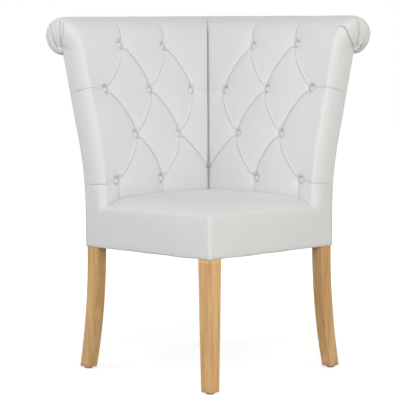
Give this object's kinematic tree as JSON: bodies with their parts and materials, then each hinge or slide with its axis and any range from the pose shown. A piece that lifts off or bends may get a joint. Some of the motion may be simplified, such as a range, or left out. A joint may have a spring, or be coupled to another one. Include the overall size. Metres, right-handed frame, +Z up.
{
  "type": "corner_bench",
  "caption": "Square upholstered corner seat in off-white linen with two button-tufted, scroll-topped back wings meeting at the rear corner, on light wooden sabre legs.",
  "frame": {"origin": "middle of the footprint, on the floor under the glides", "axes": "+Z up; the rear corner where the wings meet points to -X +Y, the open front corner to +X -Y"},
  "size_m": [0.6618, 0.6618, 1.0061],
  "materials": {
    "natural_oak": "satin clear lacquer, straight grain along the legs",
    "frame_wood": "planed, unfinished",
    "plywood": "unfinished plywood",
    "linen": "off-white linen weave with fine upright stripes",
    "foam": "open-cell upholstery foam",
    "felt": "needled felt",
    "webbing": "woven elastic webbing",
    "dust_cloth": "thin bonded cloth",
    "twine": "waxed twine",
    "steel": "plain zinc-plated steel",
    "glide_grey": "smooth grey, low sheen"
  },
  "bodies": {
    "root": {"front_leg": "natural_oak", "left_leg": "natural_oak", "right_leg": "natural_oak", "corner_leg": "natural_oak", "glides": "glide_grey", "front_left_rail": "frame_wood", "front_right_rail": "frame_wood", "back_left_rail": "frame_wood", "back_right_rail": "frame_wood", "rail_dowels": "frame_wood", "corner_blocks": "frame_wood", "block_screws": "steel", "left_low_rail": "frame_wood", "right_low_rail": "frame_wood", "left_top_rail": "frame_wood", "right_top_rail": "frame_wood", "back_rail_dowels": "frame_wood", "left_roll_block": "frame_wood", "right_roll_block": "frame_wood", "left_back_panel": "plywood", "right_back_panel": "plywood", "left_panel_screws": "steel", "right_panel_screws": "steel", "left_back_foam": "foam", "right_back_foam": "foam", "left_roll_foam": "foam", "right_roll_foam": "foam", "left_buttoned_cover": "linen", "right_buttoned_cover": "linen", "left_buttons": "linen", "right_buttons": "linen", "left_twine": "twine", "right_twine": "twine", "left_washers": "steel", "right_washers": "steel", "left_outer_felt": "felt", "right_outer_felt": "felt", "left_outer_cover": "linen", "right_outer_cover": "linen", "webbing_across": "webbing", "webbing_along": "webbing", "seat_foam": "foam", "seat_topper": "foam", "seat_cover": "linen", "dust_cover": "dust_cloth"}
  },
  "joints": []
}
